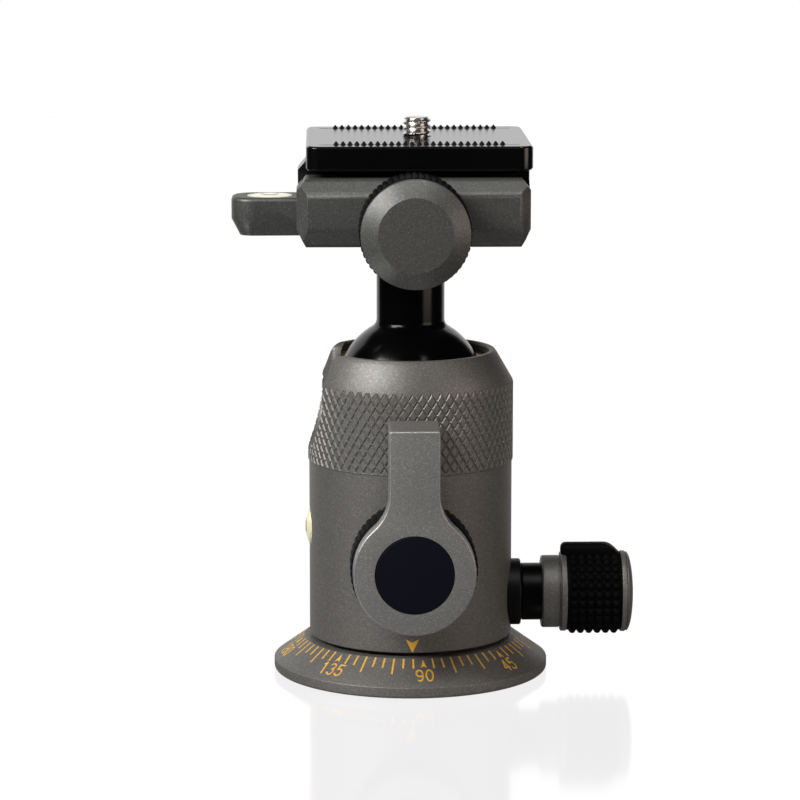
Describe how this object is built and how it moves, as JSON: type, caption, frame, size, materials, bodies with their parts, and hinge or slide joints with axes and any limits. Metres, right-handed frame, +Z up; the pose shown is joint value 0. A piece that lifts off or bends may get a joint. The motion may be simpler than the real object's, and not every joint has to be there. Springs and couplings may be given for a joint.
{
  "type": "tripod ball head",
  "caption": "Tripod ball head with a graduated panning base, lock lever, panning knob, drop notch, and a screw clamp holding a quick release plate.",
  "frame": {"origin": "centre of the base's underside, on the panning axis, at the mouth of the tripod thread", "axes": "+Z up along the panning axis, -Y towards the lock lever and clamp knob, +X towards the panning lock"},
  "size_m": [0.092, 0.078, 0.1274],
  "materials": {
    "painted_grey": "satin, fine sparkle",
    "anodised_black": "satin black",
    "polished_black": "gloss",
    "steel": "satin",
    "bright_steel": "polished",
    "brass": "turned",
    "rubber": "matt",
    "nylon": "matt",
    "cap_plastic": "satin",
    "level_cup": "satin",
    "level_fluid": "clear",
    "jaw_black": "satin",
    "bronze": "turned"
  },
  "bodies": {
    "base": {"base_flange": "painted_grey", "tripod_bushing": "steel", "pan_washer": "nylon", "pan_retainer": "steel", "retainer_screws": "steel"},
    "housing": {"housing_body": "painted_grey", "seat_ring": "brass", "lock_bush": "bronze", "pan_lock_bush": "anodised_black", "body_level_cup": "level_cup", "body_level_vial": "level_fluid"},
    "lift": {"lift_block": "steel", "disc_spring": "steel"},
    "cup": {"ball_cup": "anodised_black", "cup_liner": "nylon"},
    "ball": {"ball_stem": "polished_black"},
    "lock_lever": {"lever": "painted_grey", "lever_grip": "rubber", "lever_cap": "cap_plastic", "lever_screw": "steel", "cam_shaft": "steel"},
    "pan_brake": {"pan_brake_pad": "nylon"},
    "pan_knob": {"pan_knob_stud": "anodised_black", "pan_knob_collar": "painted_grey", "pan_knob_grip": "rubber", "pan_knob_cap": "painted_grey"},
    "clamp": {"clamp_body": "painted_grey", "rear_jaw": "jaw_black", "rear_jaw_screws": "steel", "clamp_bolt": "steel", "guide_pins": "steel", "level_cup": "level_cup", "level_vial": "level_fluid"},
    "clamp_jaw": {"front_jaw": "painted_grey"},
    "clamp_knob": {"clamp_screw": "steel", "knob_washer": "steel", "knob_clip": "steel", "clamp_knob_cap": "painted_grey", "clamp_knob_grip": "rubber"},
    "plate": {"quick_release_plate": "anodised_black", "grip_strips": "rubber", "stop_screws": "steel", "screw_clip": "steel"},
    "camera_screw": {"camera_screw": "bright_steel"}
  },
  "joints": [
    {"name": "pan", "type": "hinge", "parent": "base", "child": "housing", "pos_m": [0, 0, 0.0206], "axis": [0, 0, 1], "continuous": true},
    {"name": "lock_lever", "type": "hinge", "parent": "housing", "child": "lock_lever", "pos_m": [0, -0.0243, 0.0297], "axis": [0, -1, 0], "range_deg": [0, 100]},
    {"name": "lift", "type": "slide", "parent": "housing", "child": "lift", "axis": [0, 0, -1], "range_m": [0, 0.0003]},
    {"name": "ball_heading", "type": "hinge", "parent": "lift", "child": "cup", "pos_m": [0, 0, 0.065], "axis": [0, 0, 1], "range_deg": [0, 360]},
    {"name": "ball_tilt", "type": "hinge", "parent": "cup", "child": "ball", "pos_m": [0, 0, 0.065], "axis": [0, -1, 0], "range_deg": [-35, 90]},
    {"name": "ball_turn", "type": "hinge", "parent": "ball", "child": "clamp", "pos_m": [0, 0, 0.101], "axis": [0, 0, 1], "continuous": true},
    {"name": "clamp_jaw", "type": "slide", "parent": "clamp", "child": "clamp_jaw", "axis": [0, -1, 0], "range_m": [0, 0.0025]},
    {"name": "clamp_knob", "type": "hinge", "parent": "clamp_jaw", "child": "clamp_knob", "pos_m": [0, -0.0296, 0.1058], "axis": [0, -1, 0], "range_deg": [0, 900]},
    {"name": "plate_slide", "type": "slide", "parent": "clamp", "child": "plate", "axis": [1, 0, 0], "range_m": [-0.0085, 0.0057]},
    {"name": "camera_screw", "type": "hinge", "parent": "plate", "child": "camera_screw", "pos_m": [0.0014, 0, 0.123], "axis": [0, 0, 1], "continuous": true},
    {"name": "pan_brake", "type": "slide", "parent": "housing", "child": "pan_brake", "axis": [1, 0, 0], "range_m": [0, 0.001]},
    {"name": "pan_knob", "type": "hinge", "parent": "pan_brake", "child": "pan_knob", "pos_m": [0.0254, 0, 0.01745], "axis": [1, 0, 0], "range_deg": [0, 360]}
  ],
  "couplings": [
    {"joint": "lock_lever", "follows": "lift", "rad_per_m": 5817.8},
    {"joint": "clamp_knob", "follows": "clamp_jaw", "rad_per_m": 6283.2},
    {"joint": "pan_knob", "follows": "pan_brake", "rad_per_m": 6283.2}
  ]
}
